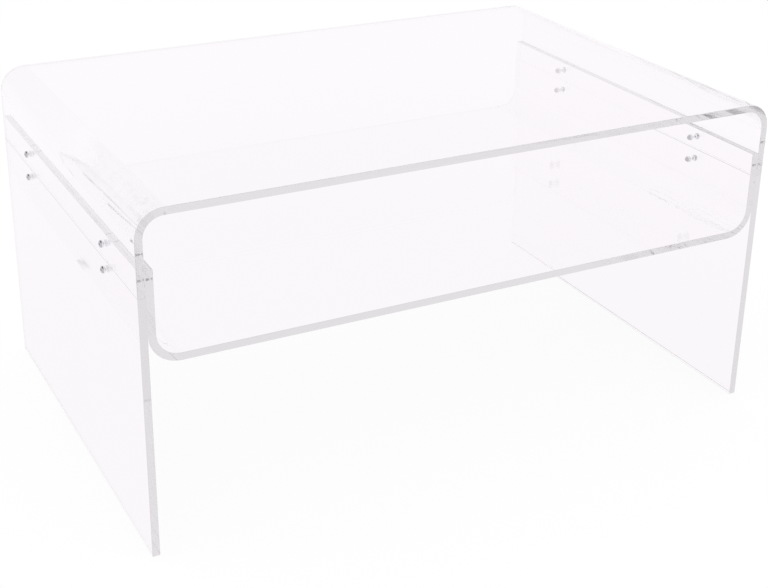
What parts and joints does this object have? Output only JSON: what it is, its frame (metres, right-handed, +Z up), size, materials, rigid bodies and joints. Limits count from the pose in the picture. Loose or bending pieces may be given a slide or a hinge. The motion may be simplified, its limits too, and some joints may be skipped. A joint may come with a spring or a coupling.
{
  "type": "waterfall coffee table",
  "caption": "Clear acrylic waterfall coffee table: top bent down at both ends, flat legs butted under it at a seam, and a bent-up shelf whose flanges splice the joint with screws.",
  "frame": {"origin": "centre of the footprint on the floor, under the middle of the table", "axes": "+X along the table from its left side to its right side, +Y from the front edge to the back edge, +Z up"},
  "size_m": [0.9194, 0.61, 0.457],
  "materials": {
    "clear_acrylic": "clear cast sheet, polished faces and edges",
    "polished_steel": "polished"
  },
  "bodies": {
    "root": {"top_panel": "clear_acrylic", "shelf": "clear_acrylic", "left_leg": "clear_acrylic", "right_leg": "clear_acrylic", "left_screws": "polished_steel", "right_screws": "polished_steel", "left_cap_nuts": "polished_steel", "right_cap_nuts": "polished_steel"}
  },
  "joints": []
}
